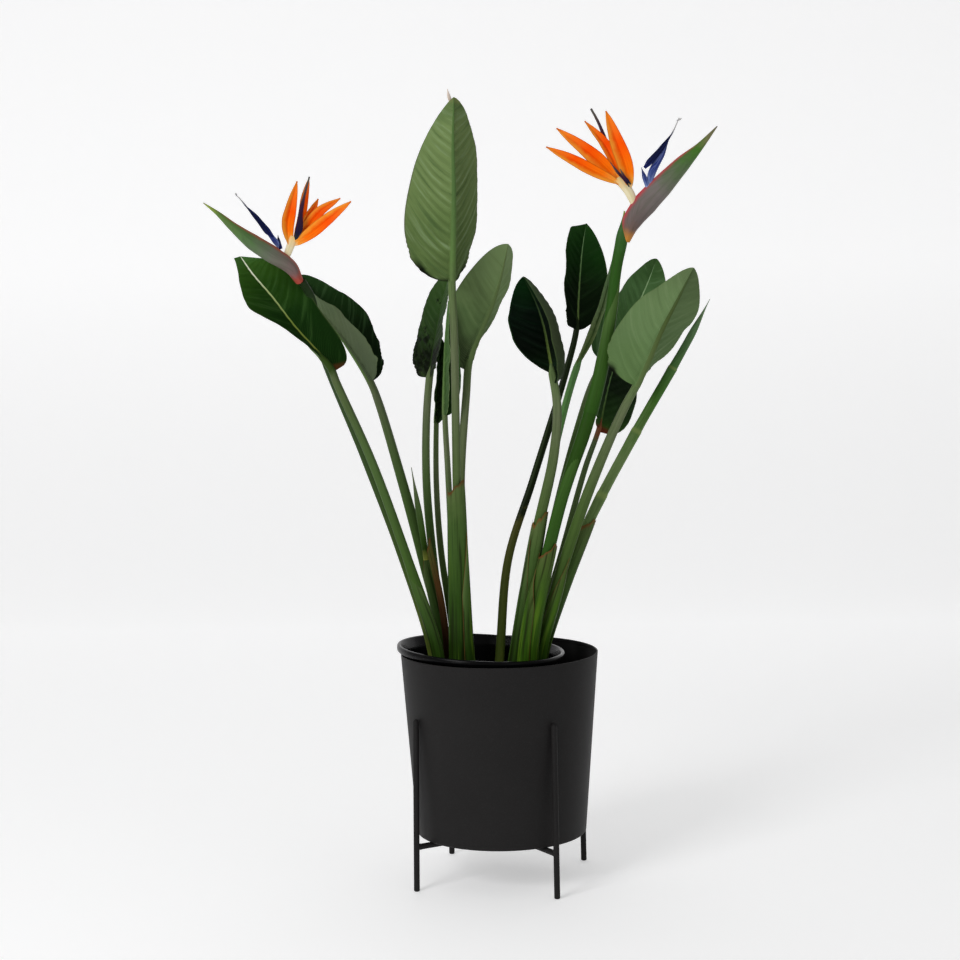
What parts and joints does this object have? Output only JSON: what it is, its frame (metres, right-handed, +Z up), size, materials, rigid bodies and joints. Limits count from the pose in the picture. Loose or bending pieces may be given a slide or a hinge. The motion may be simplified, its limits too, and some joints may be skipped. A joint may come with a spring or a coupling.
{
  "type": "potted bird of paradise",
  "caption": "Bird of paradise plant with paddle leaves and crane-like orange and blue flowers, in a black planter on a four-legged rod stand.",
  "frame": {"origin": "on the floor, under the middle of the whole object's bounding box", "axes": "+Z up; +X to the viewer's right and -Y towards the viewer of the plant's front; the planter's axis stands 37 mm to +X and 1 mm to -Y of the origin"},
  "size_m": [0.6676, 0.2828, 1.062],
  "materials": {
    "dark_leaf": "satin waxy leaf",
    "pale_leaf": "matt underside of a leaf, greyish green",
    "stem": "smooth satin leaf stalk",
    "dried_sheath": "dry, fibrous and papery",
    "spathe": "satin, grey green with a red upper edge",
    "sepal": "satin petal",
    "blue_petal": "satin petal",
    "soil": "matt, moist potting compost with bark",
    "pot_plastic": "glossy black",
    "coated_steel": "matt powder coat"
  },
  "bodies": {
    "root": {"leaf_left_front": "dark_leaf", "leaf_left_outer": "dark_leaf", "leaf_left_tall": "pale_leaf", "leaf_left_inner": "pale_leaf", "leaf_left_back": "dark_leaf", "leaf_left_folded": "dark_leaf", "leaf_left_furled": "pale_leaf", "leaf_right_front": "dark_leaf", "leaf_right_back": "dark_leaf", "leaf_right_far": "dark_leaf", "leaf_right_outer": "pale_leaf", "leaf_right_low": "dark_leaf", "leaf_right_spear": "stem", "leaf_right_slender": "stem", "sheath_left_outer": "dried_sheath", "sheath_left_dried": "dried_sheath", "sheath_right_front": "dried_sheath", "sheath_right_outer": "dried_sheath", "scape_left": "stem", "spathe_left": "spathe", "flower_sepals_left": "sepal", "flower_arrow_petal_left": "blue_petal", "flower_pistil_left": "blue_petal", "scape_right": "stem", "spathe_right": "spathe", "flower_sepals_right": "sepal", "flower_arrow_petal_right": "blue_petal", "flower_pistil_right": "blue_petal", "stand": "coated_steel", "planter": "coated_steel", "nursery_pot": "pot_plastic", "soil": "soil"}
  },
  "joints": []
}
